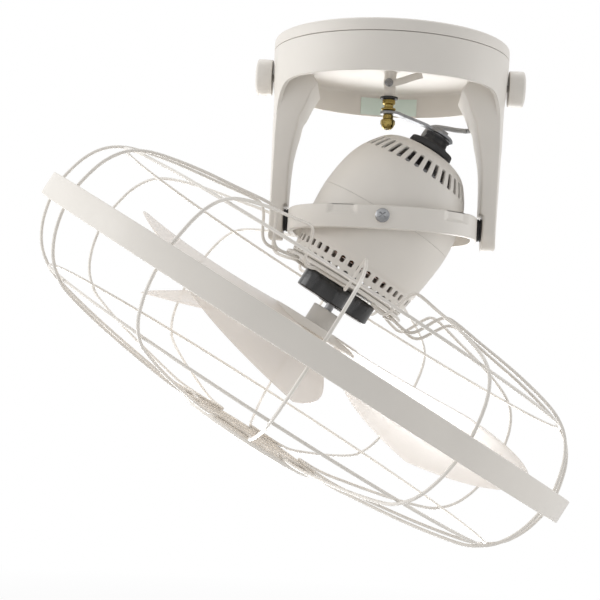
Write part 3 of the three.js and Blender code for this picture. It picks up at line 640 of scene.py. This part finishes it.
def make_ring():
    """The oval band with its notches, and the round pads under the two pivot screws."""
    bm = bmesh.new()
    rings = []
    for turn in circle(RING_COLUMNS):
        outer = oval(RING_HALF, turn)
        inner = oval((RING_HALF[0] - RING_WALL[0], RING_HALF[1] - RING_WALL[1]), turn)
        inward = (inner - outer).normalized()
        wall = (inner - outer).length
        ring = []
        for k in range(RING_ROWS + 1):
            z = RING_BOTTOM + (RING_TOP - RING_BOTTOM) * k / RING_ROWS
            to_edge = min(z - RING_BOTTOM, RING_TOP - z, RING_ROUND)
            turned_in = RING_ROUND - math.sqrt(max(0, RING_ROUND**2 - (RING_ROUND - to_edge) ** 2))
            p = outer + inward * (turned_in + pocket_depth(outer.x, outer.y, z))
            ring.append((p.x, p.y, z))
        for depth, z in ((0.35, RING_TOP), (0.75, RING_TOP), (1, RING_TOP - 0.8), (1, RING_BOTTOM + 0.8)):
            p = outer + inward * wall * depth
            ring.append((p.x, p.y, z))
        for depth in (0.75, 0.35):
            p = outer + inward * wall * depth
            ring.append((p.x, p.y, RING_BOTTOM))
        rings.append(ring)
    skin(bm, rings, loop=True)
    for side in (1, -1):
        pad = softened([(0, 0), (6.9, 0), (6.9, 3.8, 0.4), (0, 3.8)])
        turned_pad = turned(bmesh.new(), pad, 64)
        outward = Matrix.Rotation(-side * math.pi / 2, 4, "X")
        turned_pad.transform(Matrix.Translation((0, side * PAD_Y, 0)) @ outward)
        extra = bpy.data.meshes.new("pad")
        turned_pad.to_mesh(extra)
        turned_pad.free()
        bm.from_mesh(extra)
        bpy.data.meshes.remove(extra)
    piece("ring_band", bm, LEVEL, "ring", "warm_white_plastic", "gimbal_ring")


make_ring()

for side, word in ((1, "right"), (-1, "left")):
    place = LEVEL @ Matrix.Scale(side, 4, (1, 0, 0)) @ ALONG_X
    bush = [(4.3, 89.2), (10.6, 89.2, 0.4), (10.6, 90.9), (9.6, 91.2), (9.6, 91.6), (10.6, 91.9)]
    bush += [(10.6, 93.1, 0.4), (4.3, 93.1)]
    turned_piece(f"bush_{word}", bush, place, "ring", "black_rubber", f"pivot_bush_{word}", segments=64)
    pin = [(0, 79.9), (6, 79.9, 0.6), (6, 82.9), (4, 82.9), (4, 101), (0, 101)]
    turned_piece(f"pin_{word}", pin, place, "ceiling_yoke", "zinc", f"arm_pin_{word}", segments=48)

for turn, word in ((0, "front"), (math.pi, "rear")):
    cross_screw(
        f"pivot_screw_{word}",
        [(0, -22), (2.8, -22), (2.8, 0), (6.6, 0, 0.3), (6.4, 1.3, 0.8), (4.2, 2.7), (0, 3.2)],
        LEVEL @ Matrix.Rotation(turn, 4, "Z") @ Matrix.Translation((0, -77.9, 0)) @ ALONG_MINUS_Y,
        "motor_head",
        (7.0, 1.5, 7.0, 3.6),
        f"head_screw_{word}",
    )

# ---- Motor housing --------------------------------------------------------------------------

REAR_SLOTS = 36
VENTS = 42
FIRST_VENT = math.radians(2.98)
HOLE_COLUMNS = 4  # of the wall's mesh, for a hole and the bar beside it
OPEN_COLUMNS = 2
HOLE_ROUND = 0.9
HOUSING_WALL = 2.4
HOUSING_EDGE = 0.3
HOUSING_EDGE_ANGLE = math.radians(50)


def housing(name, profile, holes, open_rows, first_turn, *nodes):
    """A turned wall with rings of holes. The ends of each hole are drawn in at its corners."""
    columns = HOLE_COLUMNS * holes
    bm = bmesh.new()
    turns = [first_turn + turn for turn in circle(columns)]
    rings = [[bm.verts.new(polar(r, turn, z)) for turn in turns] for r, z in profile]
    for row in range(len(profile) - 1):
        for column in range(columns):
            spot = (column + 1) % HOLE_COLUMNS
            if spot < OPEN_COLUMNS and any(low <= row < high for low, high in open_rows):
                continue
            after = (column + 1) % columns
            below, above = rings[row], rings[row + 1]
            bm.faces.new((below[column], below[after], above[after], above[column]))
    for low, high in open_rows:
        for row, toward in ((low, low + 1), (high, high - 1)):
            for column in range(columns):
                if (column + 1) % HOLE_COLUMNS in (0, OPEN_COLUMNS):
                    vert, other = rings[row][column], rings[toward][column]
                    share = HOLE_ROUND / max(HOLE_ROUND, (other.co - vert.co).length)
                    vert.co = vert.co.lerp(other.co, share)
    bm.transform(HEAD)
    bmesh.ops.recalc_face_normals(bm, faces=bm.faces)
    mesh = bpy.data.meshes.new(name)
    bm.to_mesh(mesh)
    bm.free()
    obj = bpy.data.objects.new(name, mesh)
    bpy.context.scene.collection.objects.link(obj)
    thick = obj.modifiers.new("wall", "SOLIDIFY")
    thick.thickness = HOUSING_WALL * MM
    thick.offset = -1
    thick.use_even_offset = True
    edge = obj.modifiers.new("edges", "BEVEL")
    edge.width = HOUSING_EDGE * MM
    edge.segments = 2
    edge.limit_method = "ANGLE"
    edge.angle_limit = HOUSING_EDGE_ANGLE
    settled(obj)
    return dress(obj, "motor_head", "warm_white_plastic", *nodes)


def make_rear_housing():
    """From the joint in the middle, over the slots, to the boot's seat."""
    lower = smoothed([(67.4, 5.7), (66.9, 14), (65.9, 24), (64, 35), (61.3, 45), (57.6, 53.6)], 3)
    slot = [(56.1, 56.2), (53.7, 60.2), (50.9, 64.2), (48.2, 67.8), (46.3, 70.3)]
    top = smoothed([(44.9, 71.9), (40.5, 75.6), (34.5, 78.8), (27, 81.3), (17, 83)], 3)
    profile = [(67.35, 5.3), *lower, *slot, *top]
    first = 1 + len(lower)
    open_rows = [(first, first + len(slot) - 1)]
    housing("rear_housing", profile, REAR_SLOTS, open_rows, 0, "rear_shell")


def make_front_housing():
    """From the joint down over a ledge and two rows of vents to the neck that carries the guard."""
    upper = [(67.3, 5.2), (67.4, 4.6), (67.2, -4), (66.4, -14), (65.3, -24), (64.0, -34), (62.9, -41)]
    ledge = [(62.4, -44.2), (61.9, -44.8), (61.6, -46.4)]
    vents = [(61.5, -47.3), (61.0, -50.6), (60.5, -54.0), (60.1, -55.9), (59.8, -58.0), (59.2, -63.0)]
    end = [(58.9, -63.6), (58.2, -64.4), (57, -64.6), (40, -64.6), (22, -64.6), (15, -64.6)]
    neck = [(14.2, -65.2), (14, -66.5), (14, -81), (13.3, -82), (6.2, -82)]
    first = len(upper) + len(ledge)
    open_rows = [(first, first + 2), (first + 4, first + 5)]
    profile = upper + ledge + vents + end + neck
    housing("front_housing", profile, VENTS, open_rows, FIRST_VENT, "front_shell")


make_rear_housing()
make_front_housing()

turned_piece(
    "boot",
    [(7.6, 83.4), (22, 83.4), (22.4, 84.6, 0.5), (21.6, 89, 1.4), (15.2, 90.6, 1.5), (12.2, 92.6, 1)]
    + [(11.4, 96.6), (12.4, 98.2, 0.4), (12.4, 99.6, 0.4), (7.6, 99.6)],
    HEAD,
    "motor_head",
    "black_rubber",
    "gearbox_boot",
    segments=96,
)


NUT_R, NUT_BORE_R = 29.5, 14.6
NUT_TOP, NUT_BOTTOM = -70.6, -89.5
NUT_ROUND = 1.6
NUT_COLUMNS = 180
LOBES, LOBE_DEPTH, LOBE_BEND = 3, 11, 0.62


def make_guard_nut():
    """A hand nut with three broad lobes, its top and bottom edges rounded."""
    corners = [(0, NUT_BOTTOM, NUT_ROUND), (0, NUT_TOP, NUT_ROUND), (-NUT_R, NUT_TOP), (-NUT_R, NUT_BOTTOM)]
    outside = softened(corners)[:-2]
    turns = circle(NUT_COLUMNS)
    rings = []
    for depth, z in outside:
        ring = []
        for turn in turns:
            lobe = -math.sin(LOBES * turn)
            r = NUT_R + LOBE_DEPTH * math.copysign(abs(lobe) ** LOBE_BEND, lobe) + depth
            ring.append(polar(r, turn, z))
        rings.append(ring)
    for z in (NUT_TOP, NUT_BOTTOM):
        rings.append([polar(NUT_BORE_R, turn, z) for turn in turns])
    bm = skin(bmesh.new(), rings, loop=True)
    piece("guard_hand_nut", bm, HEAD, "motor_head", "black_plastic", "guard_nut")


make_guard_nut()

# ---- Guard ----------------------------------------------------------------------------------

turned_piece(
    "guard_hub_plate",
    [(14.4, -66), (52, -66), (53.5, -65.2, 0.6), (60.5, -65.2, 0.6), (63, -66.6, 0.6), (63, -69, 0.5)]
    + [(60.8, -69, 0.4), (59.4, -68, 0.5), (14.4, -68)],
    HEAD,
    "motor_head",
    "guard_paint",
    "rear_guard_plate",
)

REAR_LEG = [
    (276.8, -134),
    (276, -120),
    (270, -98),
    (260, -81.5),
    (246, -70.5),
    (226, -63),
    (190, -55),
    (150, -49),
    (118, -44.2),
    (106.5, -45),
    (100, -51.5),
    (94.5, -61),
    (88.8, -70),
    (82, -73.8),
    (72, -73),
]
FRONT_LEG = [
    (276.8, -138.5),
    (275.6, -152),
    (270, -171),
    (260, -188),
    (246, -200),
    (228, -208),
    (180, -218.4),
    (120, -227.5),
    (92, -230.6),
]
WIRE_R = 1.5
WIRE_PAIRS = 6
WIRE_HALF_STEP = math.radians(15)
FIRST_MIDDLE = math.radians(20.5)


def guard_tube(name, line, closed, node):
    bm = tube(bmesh.new(), line, WIRE_R, closed=closed)
    piece(name, bm, HEAD, "motor_head", "guard_paint", node, face_angle=TUBE_ANGLE)


def wire(name, leg, bend_r, bend_z, middle, node):
    """Two legs of one bent wire, joined by a bend under the hub."""
    down = [polar(r, middle - WIRE_HALF_STEP, z) for r, z in leg]
    up = [polar(r, middle + WIRE_HALF_STEP, z) for r, z in reversed(leg)]
    bend = []
    for share, rise in ((-1, 5), (-0.82, 1.4), (-0.4, 0), (0.4, 0), (0.82, 1.4), (1, 5)):
        bend.append(polar(bend_r + rise, middle + share * WIRE_HALF_STEP, bend_z))
    guard_tube(name, smoothed([*down, *bend, *up], 5), False, node)


for i in range(WIRE_PAIRS):
    middle = FIRST_MIDDLE + 2 * math.pi * i / WIRE_PAIRS
    wire(f"rear_guard_wire_{i + 1}", REAR_LEG, 55, -70.3, middle, f"rear_wire_{i + 1}")
    wire(f"front_guard_wire_{i + 1}", FRONT_LEG, 62, -230.4, middle, f"front_wire_{i + 1}")


HOOP_R = 240.5
HOOP_COLUMNS = 180
for word, z in (("rear", -72.2), ("front", -199.3)):
    line = [polar(HOOP_R, turn, z) for turn in circle(HOOP_COLUMNS)]
    guard_tube(f"{word}_guard_hoop", line, True, f"{word}_hoop")

turned_piece(
    "guard_wide_band",
    [(279, -147.5, 0.9), (282.5, -147.5, 0.9), (282.5, -125, 0.9), (279, -125, 0.9)],
    HEAD,
    "motor_head",
    "warm_white_plastic",
    "guard_band",
    segments=288,
)


def make_medallion():
    """A shallow dish with ring steps on its inner side and a plain outer face."""
    inner = [(0, -236.6)]
    for r, z in ((18, -236.4), (34, -235.9), (50, -235.0), (62, -233.9)):
        inner += [(r - 1.6, z), (r - 0.8, z + 1.1, 0.3), (r + 0.8, z + 1.1, 0.3), (r + 1.6, z)]
    rim = [(69.5, -233.2), (70.6, -232.4, 0.5), (72.6, -232.6, 0.8), (73, -234.4, 0.6), (71.5, -236.9, 0.8)]
    turned_piece(
        "medallion_dish",
        [*inner, *rim, (45, -240.2), (0, -241.4)],
        HEAD,
        "motor_head",
        "warm_white_plastic",
        "front_medallion",
    )


make_medallion()

# ---- Blades ---------------------------------------------------------------------------------

BLADE_R = 247.5
BLADE_ROOT_R = 37.5
BLADE_ROOT_Z = -113.5
BLADE_FIRST = -14.3  # degrees, where the first blade's leading edge would meet the tip circle
SWEEP, SWEEP_BOW, SWEEP_BEND = -47.9, -9.0, 0.59  # of the leading edge, towards the hub
ROOT_SPAN, TIP_SPAN, SPAN_BEND = 115.0, 43.1, 1.86  # degrees from edge to edge
LIFT = (-13.5, 19.8, 2.2)  # height of the leading edge outwards, by powers of the share
ROOT_FALL, MORE_FALL, FALL_BEND, FALL_CURVE = 7.4, 75.3, 0.68, 1.49  # to the trailing edge
CAMBER = -1.7
LEAD_CUT, LEAD_BEND = 0.25, 1.6  # rounding of the tip's two corners
TRAIL_CUT, TRAIL_BEND = 0.305, 1.21


def blade_point(first, u, share):
    """A place on the sheet: u goes from the leading to the trailing edge, share from the hub to the tip."""
    across = 2 * u - 1
    lost = LEAD_CUT * max(0, -across) ** LEAD_BEND + TRAIL_CUT * max(0, across) ** TRAIL_BEND
    v = share * (1 - lost)
    r = BLADE_ROOT_R + (BLADE_R - BLADE_ROOT_R) * v
    lead = SWEEP * (1 - v) ** SWEEP_BEND + SWEEP_BOW * v * (1 - v)
    turn = math.radians(first + lead + (ROOT_SPAN + (TIP_SPAN - ROOT_SPAN) * v**SPAN_BEND) * u)
    rear = BLADE_ROOT_Z + sum(rise * v ** (k + 1) for k, rise in enumerate(LIFT))
    drop = (ROOT_FALL + MORE_FALL * v**FALL_BEND) * u**FALL_CURVE
    return polar(r, turn, rear - drop + CAMBER * v * 4 * u * (1 - u))


BLADES = 3
BLADE_ACROSS, BLADE_ALONG = 36, 40  # cells of the sheet
BLADE_HALF_WALL = 0.9
EDGE_CELLS, EDGE_SHARE = 1.6, 0.35  # how far in from its edges the sheet has its whole thickness


def blade_skins(bm, grid):
    """The two faces of a sheet round a grid of places, thinner towards its edges."""
    skins = []
    for side in (1, -1):
        rows = []
        for v in range(BLADE_ALONG + 1):
            row = []
            for u in range(BLADE_ACROSS + 1):
                du = grid[v][min(u + 1, BLADE_ACROSS)] - grid[v][max(u - 1, 0)]
                dv = grid[min(v + 1, BLADE_ALONG)][u] - grid[max(v - 1, 0)][u]
                to_edge = min(u, BLADE_ACROSS - u, BLADE_ALONG - v)
                half = BLADE_HALF_WALL * math.sqrt(min(1, (to_edge + EDGE_SHARE) / EDGE_CELLS))
                row.append(bm.verts.new(grid[v][u] + du.cross(dv).normalized() * half * side))
            rows.append(row)
        skins.append(rows)
    return skins


def make_blade(bm, first):
    grid = []
    for v in range(BLADE_ALONG + 1):
        row = [blade_point(first, u / BLADE_ACROSS, v / BLADE_ALONG) for u in range(BLADE_ACROSS + 1)]
        grid.append(row)
    top, bottom = blade_skins(bm, grid)
    for v in range(BLADE_ALONG):
        for u in range(BLADE_ACROSS):
            bm.faces.new((top[v][u], top[v][u + 1], top[v + 1][u + 1], top[v + 1][u]))
            bm.faces.new((bottom[v][u], bottom[v + 1][u], bottom[v + 1][u + 1], bottom[v][u + 1]))
    rim = [(0, u) for u in range(BLADE_ACROSS)] + [(v, BLADE_ACROSS) for v in range(BLADE_ALONG)]
    rim += [(BLADE_ALONG, u) for u in range(BLADE_ACROSS, 0, -1)]
    rim += [(v, 0) for v in range(BLADE_ALONG, 0, -1)]
    for (v0, u0), (v1, u1) in zip(rim, rim[1:] + rim[:1]):
        bm.faces.new((top[v0][u0], bottom[v0][u0], bottom[v1][u1], top[v1][u1]))


def make_blades():
    hub = [
        (4.3, -95.5),
        (14.3, -95.5, 0.9),
        (14.3, -112.4, 1.2),
        (45.5, -113, 0.6),
        (45.5, -120.8, 0.6),
        (43.3, -120.8),
        (43.1, -116),
        (14, -115.6),
        (13, -117),
        (4.3, -117),
    ]
    turned_piece("impeller_hub", hub, HEAD, "blade_set", "warm_white_plastic", "fan_blade", segments=120)
    bm = bmesh.new()
    for k in range(BLADES):
        make_blade(bm, BLADE_FIRST + 360 / BLADES * k)
    piece("impeller_blades", bm, HEAD, "blade_set", "blade_plastic", "fan_blade")


make_blades()

turned_piece(
    "blade_hand_nut",
    [(4.3, -117.6), (10, -117.6), (10, -124, 0.6), (16, -124, 0.8), (14.4, -131, 1.5), (8, -133, 1)]
    + [(4.3, -133)],
    HEAD,
    "blade_set",
    "nylon",
    "blade_nut",
    segments=72,
)
turned_piece(
    "shaft",
    [(0, -130, 0), (4, -130, 0.5), (4, 33), (0, 33)],
    HEAD,
    "blade_set",
    "steel",
    "motor_shaft",
    segments=48,
)

# ---- Crank ----------------------------------------------------------------------------------

SEAT = 103.9  # height of the crank plate's top face over the gimbal centre, along the head's axis


def on_axis(across, out):
    return Vector(
        (
            across * math.cos(LEAN) + out * math.sin(LEAN),
            GIMBAL_Z - across * math.sin(LEAN) + out * math.cos(LEAN),
        )
    )


EYE_S = 7.6  # from the strip's near end to the middle of its eye, along it
SEAT_S = 16.5  # from the middle of its seat on the shaft to its far end
EYE_R, EYE_LEAST, EYE_REACH = 7.4833, 0.5477, 5
SEAT_R, SEAT_HALF = 11.489, 11.5
WAIST_HALF, END_HALF = 6.2, 6.5
END_FALL, END_BEND = 0.55, 0.8
STRIP_WALL, STRIP_BEVEL = 2.6, 0.3


def round_half(radius, away, least):
    """Half the width of a round end, at a distance from its middle."""
    return math.sqrt(max(least**2, radius**2 - away**2))


def crank_half(s, seat_s):
    """Half the width of the strip, at a length along it."""
    if s > seat_s:
        return max(END_HALF, SEAT_HALF - END_FALL * (s - seat_s) ** END_BEND)
    if s >= EYE_S + EYE_REACH:
        return max(WAIST_HALF, round_half(SEAT_R, s - seat_s, 0))
    at_eye = round_half(EYE_R, s - EYE_S, EYE_LEAST)
    return max(at_eye, WAIST_HALF) if s > EYE_S else at_eye


def make_crank():
    """A bent zinc strip: level round its eye, then down to lie square to the head's axis."""
    top = [Vector((-7.6, -62.3)), Vector((0, -62.3)), Vector((8.4, -62.5)), Vector((16, -65.2))]
    top += [on_axis(-17, SEAT - 0.2), on_axis(-11, SEAT), on_axis(0, SEAT), on_axis(9, SEAT)]
    top += [on_axis(13.4, SEAT - 1.6), on_axis(15.4, SEAT - 4.6)]
    line = smoothed(top, 10)
    lengths = [0]
    for a, b in zip(line, line[1:]):
        lengths.append(lengths[-1] + (b - a).length)
    seat_s = lengths[-1] - SEAT_S
    rings = []
    for i, p in enumerate(line):
        down = -sideways(line, i)
        half = crank_half(lengths[i], seat_s)
        inset = half - STRIP_BEVEL
        ring = [(-half, STRIP_BEVEL), (-inset, 0), (inset, 0), (half, STRIP_BEVEL)]
        ring += [(y, STRIP_WALL - depth) for y, depth in reversed(ring)]
        rings.append([(p.x + down.x * depth, y, p.y + down.y * depth) for y, depth in ring])
    bm = skin(bmesh.new(), rings, capped=True)
    piece("crank_strip", bm, WORLD, "crank", "zinc", "crank_plate")


make_crank()

turned_piece(
    "eye_bush_turned",
    [(0, -51), (6.15, -51, 0.5), (6.15, -54.8, 0.5), (4.9, -55.8), (4.4, -56.6), (4.4, -58.2), (5.6, -58.9)]
    + [(6.9, -59.2, 0.3), (6.9, -60.6, 0.3), (5.4, -61.9), (4.1, -62.1), (4.1, -65.1), (0, -65.1)],
    WORLD,
    "crank",
    "brass",
    "eye_bush",
    segments=48,
)


ACORN_TOP = -65.4
HEXAGON_R = 6.9
HEXAGON_STEPS = 4  # along each side


def hexagon(r, z):
    corners = [polar(r, turn, z) for turn in circle(6)]
    ring = []
    for a, b in zip(corners, corners[1:] + corners[:1]):
        ring += [a.lerp(b, k / HEXAGON_STEPS) for k in range(HEXAGON_STEPS)]
    return ring


def make_acorn_nut():
    """A turned neck and dome with a hexagon between them and a small recess below."""
    body = [(0, 0), (5, 0, 0.3), (5, -4, 0.4), (6.3, -4.8, 0.5), (6.3, -9.8, 1), (5.3, -12, 1)]
    body += [(3.2, -13.9, 0.5), (1.8, -13.9, 0.2), (1.8, -12.4), (0, -12.4)]
    bm = turned(bmesh.new(), softened(body), 48)
    levels = [(HEXAGON_R - 0.7, -4.7), (HEXAGON_R, -5.6), (HEXAGON_R, -9), (HEXAGON_R - 0.7, -9.9)]
    skin(bm, [hexagon(r, z) for r, z in levels], capped=True)
    place = WORLD @ Matrix.Translation((0, 0, ACORN_TOP))
    piece("acorn_nut_turned", bm, place, "crank", "brass", "acorn_nut")


make_acorn_nut()

# ---- Supply cable ---------------------------------------------------------------------------

CABLE_R = 2.4
MOTOR_ROUTE = [
    (24.9, 24, -97.9),
    (29.8, 24, -89.1),
    (33.4, 24.1, -82.6),
    (36.2, 24.4, -76.8),
    (40, 24.8, -72.1),
    (46, 25.3, -70),
    (55.5, 26.6, -70.3),
    (65.5, 29, -71.2),
    (75, 33, -71),
]
YOKE_ROUTE = [
    (75.8, 33.5, -70.9),
    (80.5, 37.6, -69.3),
    (85, 41.6, -64.6),
    (87.6, 44.6, -56.5),
    (86.6, 46.4, -47),
    (84.2, 47, -37),
    (82.6, 47, -27),
    (82, 47, -17),
]


def cable(name, route, exit_end, node):
    line = smoothed(route)
    if exit_end:
        line = line[::-1]
    bm = tube(bmesh.new(), line, CABLE_R, 20)
    obj = piece(name, bm, WORLD, None, "grey_cable", node)
    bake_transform(obj)


cable("cable_motor", MOTOR_ROUTE, False, "motor_cable")
cable("cable_yoke", YOKE_ROUTE, True, "yoke_cable")

# ---- Floor and light ------------------------------------------------------------------------

FLOOR_Z = -0.8
FLOOR_SIZE = 60
NEAR_WHITE = 0.7  # how far the floor under the object is lifted to white, where its shadow lies
SHADOW_REACH = 0.8  # how far from the middle that is
WHITE_REACH = 2.2  # where the floor is wholly white
WORLD_LIGHT, WORLD_SEEN = 0.61, 1.0  # strength of the world as a lamp, and as it is seen or mirrored


def make_floor():
    bm = bmesh.new()
    bmesh.ops.create_grid(bm, x_segments=1, y_segments=1, size=FLOOR_SIZE)
    mesh = bpy.data.meshes.new("floor")
    bm.to_mesh(mesh)
    bm.free()
    floor = bpy.data.objects.new("floor", mesh)
    floor.location.z = FLOOR_Z
    bpy.context.scene.collection.objects.link(floor)
    material = bpy.data.materials.new("floor")
    material.use_nodes = True
    nodes, links = material.node_tree.nodes, material.node_tree.links
    shader = nodes["Principled BSDF"]
    shader.inputs["Base Color"].default_value = (0.85, 0.85, 0.85, 1)
    shader.inputs["Roughness"].default_value = 0.9
    glow = nodes.new("ShaderNodeEmission")
    glow.inputs["Strength"].default_value = 1
    path = nodes.new("ShaderNodeLightPath")
    place = nodes.new("ShaderNodeTexCoord")
    away = nodes.new("ShaderNodeVectorMath")
    away.operation = "LENGTH"
    links.new(place.outputs["Object"], away.inputs[0])
    whiten = nodes.new("ShaderNodeMapRange")
    whiten.inputs["From Min"].default_value = SHADOW_REACH
    whiten.inputs["From Max"].default_value = WHITE_REACH
    whiten.inputs["To Min"].default_value = NEAR_WHITE
    whiten.inputs["To Max"].default_value = 1
    links.new(away.outputs["Value"], whiten.inputs["Value"])
    share = nodes.new("ShaderNodeMath")
    share.operation = "MULTIPLY"
    mix = nodes.new("ShaderNodeMixShader")
    links.new(path.outputs["Is Camera Ray"], share.inputs[0])
    links.new(whiten.outputs["Result"], share.inputs[1])
    links.new(share.outputs["Value"], mix.inputs["Fac"])
    links.new(shader.outputs["BSDF"], mix.inputs[1])
    links.new(glow.outputs["Emission"], mix.inputs[2])
    links.new(mix.outputs["Shader"], nodes["Material Output"].inputs["Surface"])
    floor.data.materials.append(material)


make_floor()


def lamp(name, place, target, size, power):
    data = bpy.data.lights.new(name, "AREA")
    data.shape = "RECTANGLE"
    data.size, data.size_y = size
    data.energy = power
    obj = bpy.data.objects.new(name, data)
    obj.location = place
    obj.rotation_mode = "QUATERNION"
    obj.rotation_quaternion = (Vector(target) - Vector(place)).to_track_quat("-Z", "Y")
    obj.visible_camera = False
    bpy.context.scene.collection.objects.link(obj)


MIDDLE = (0, 0, -0.25)
lamp("left_box", (-1.7, -0.3, 0.0), MIDDLE, (1.4, 1.6), 15)
lamp("right_box", (1.7, 0.1, -0.2), MIDDLE, (1.2, 1.0), 6)
lamp("top_box", (0.0, 0.5, 1.6), MIDDLE, (2.0, 1.6), 13)
lamp("low_box", (-0.3, 0.75, -0.74), (-0.05, 0, -0.08), (1.4, 0.9), 23)


def make_world():
    world = bpy.data.worlds.new("world")
    bpy.context.scene.world = world
    world.use_nodes = True
    nodes, links = world.node_tree.nodes, world.node_tree.links
    background = nodes["Background"]
    path = nodes.new("ShaderNodeLightPath")
    seen = nodes.new("ShaderNodeMath")
    seen.operation = "MAXIMUM"
    also = nodes.new("ShaderNodeMath")
    also.operation = "MAXIMUM"
    links.new(path.outputs["Is Camera Ray"], seen.inputs[0])
    links.new(path.outputs["Is Glossy Ray"], seen.inputs[1])
    links.new(seen.outputs["Value"], also.inputs[0])
    links.new(path.outputs["Is Transmission Ray"], also.inputs[1])
    strength = nodes.new("ShaderNodeMapRange")
    strength.inputs["To Min"].default_value = WORLD_LIGHT
    strength.inputs["To Max"].default_value = WORLD_SEEN
    links.new(also.outputs["Value"], strength.inputs["Value"])
    links.new(strength.outputs["Result"], background.inputs["Strength"])
    background.inputs["Color"].default_value = (1, 1, 1, 1)


make_world()
bpy.context.scene.view_settings.view_transform = "Standard"
